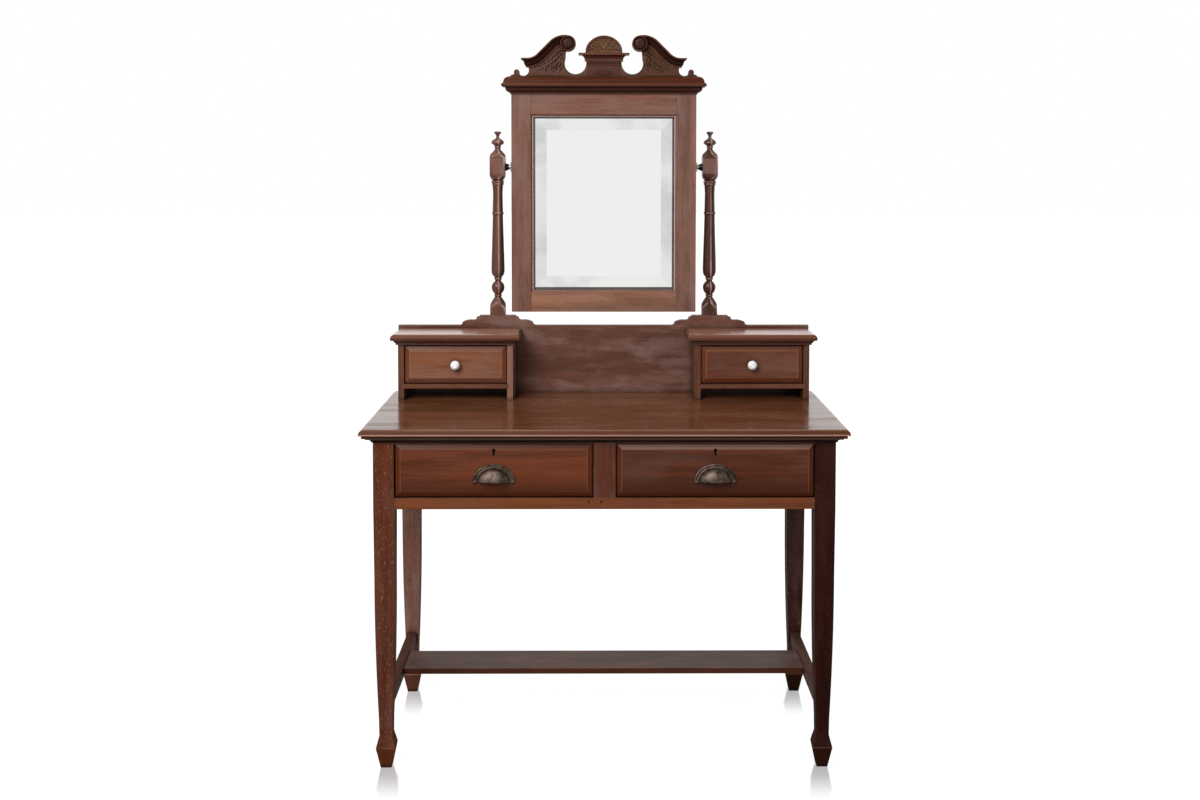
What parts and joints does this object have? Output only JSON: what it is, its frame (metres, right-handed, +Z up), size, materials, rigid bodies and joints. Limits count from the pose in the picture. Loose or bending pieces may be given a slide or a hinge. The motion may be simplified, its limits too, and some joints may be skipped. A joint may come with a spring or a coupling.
{
  "type": "dressing table",
  "caption": "Dressing table on tapered legs with drawers, small drawer boxes on the top and a swing mirror under a scroll pediment.",
  "frame": {"origin": "on the floor, under the middle of the whole object's box", "axes": "+Z up, +X to the right of a person who faces the mirror, -Y to the front, where the drawers open"},
  "size_m": [1.07, 0.502, 1.659],
  "materials": {
    "mahogany": "old polished red-brown wood",
    "drawer_lining": "bare wood, dry and pale",
    "backing_pine": "bare softwood, aged",
    "old_bronze": "dark antique bronze",
    "lock_metal": "dull old metal",
    "white_ceramic": "glazed white ceramic",
    "mirror_glass": "bevelled silvered glass"
  },
  "bodies": {
    "table": {"front_left_leg": "mahogany", "front_right_leg": "mahogany", "rear_left_leg": "mahogany", "rear_right_leg": "mahogany", "bottom_rail": "mahogany", "top_rail": "mahogany", "centre_stile": "mahogany", "side_aprons": "mahogany", "rear_apron": "mahogany", "side_stretchers": "mahogany", "stretcher_shelf": "mahogany", "tabletop": "mahogany", "bed_moulding": "mahogany", "drawer_runners": "drawer_lining", "drawer_kickers": "drawer_lining", "drawer_stops": "drawer_lining", "right_small_box_sides": "mahogany", "left_small_box_sides": "mahogany", "right_small_box_shelf": "mahogany", "left_small_box_shelf": "mahogany", "right_small_box_top": "mahogany", "left_small_box_top": "mahogany", "backboard": "mahogany", "right_post": "mahogany", "left_post": "mahogany", "swing_sockets": "lock_metal", "post_screws": "lock_metal"},
    "mirror": {"mirror_right_stile": "mahogany", "mirror_left_stile": "mahogany", "mirror_top_rail": "mahogany", "mirror_bottom_rail": "mahogany", "sight_bead": "mahogany", "mirror_glass": "mirror_glass", "backing_board": "backing_pine", "swing_plates": "lock_metal", "cornice": "mahogany", "pediment_board": "mahogany", "scroll_mouldings": "mahogany", "plinth_cap": "mahogany", "lunette": "mahogany"},
    "right_drawer": {"right_drawer_front": "mahogany", "right_drawer_box": "drawer_lining", "right_drawer_bottom": "drawer_lining", "right_drawer_lock_case": "lock_metal", "right_drawer_cup_pull": "old_bronze"},
    "right_lock_bolt": {"right_drawer_lock_bolt": "lock_metal"},
    "right_small_drawer": {"right_small_drawer_front": "mahogany", "right_small_drawer_box": "drawer_lining", "right_small_drawer_bottom": "drawer_lining", "right_small_drawer_knob": "white_ceramic"},
    "left_drawer": {"left_drawer_front": "mahogany", "left_drawer_box": "drawer_lining", "left_drawer_bottom": "drawer_lining", "left_drawer_lock_case": "lock_metal", "left_drawer_cup_pull": "old_bronze"},
    "left_lock_bolt": {"left_drawer_lock_bolt": "lock_metal"},
    "left_small_drawer": {"left_small_drawer_front": "mahogany", "left_small_drawer_box": "drawer_lining", "left_small_drawer_bottom": "drawer_lining", "left_small_drawer_knob": "white_ceramic"}
  },
  "joints": [
    {"name": "right_drawer_slide", "type": "slide", "parent": "table", "child": "right_drawer", "axis": [0, -1, 0], "range_m": [0, 0.33]},
    {"name": "right_bolt_slide", "type": "slide", "parent": "right_drawer", "child": "right_lock_bolt", "axis": [0, 0, 1], "range_m": [0, 0.006]},
    {"name": "right_small_drawer_slide", "type": "slide", "parent": "table", "child": "right_small_drawer", "axis": [0, -1, 0], "range_m": [0, 0.075]},
    {"name": "left_drawer_slide", "type": "slide", "parent": "table", "child": "left_drawer", "axis": [0, -1, 0], "range_m": [0, 0.33]},
    {"name": "left_bolt_slide", "type": "slide", "parent": "left_drawer", "child": "left_lock_bolt", "axis": [0, 0, 1], "range_m": [0, 0.006]},
    {"name": "left_small_drawer_slide", "type": "slide", "parent": "table", "child": "left_small_drawer", "axis": [0, -1, 0], "range_m": [0, 0.075]},
    {"name": "mirror_tilt", "type": "hinge", "parent": "table", "child": "mirror", "pos_m": [0, 0.232, 1.33], "axis": [1, 0, 0], "range_deg": [-30, 30]}
  ]
}
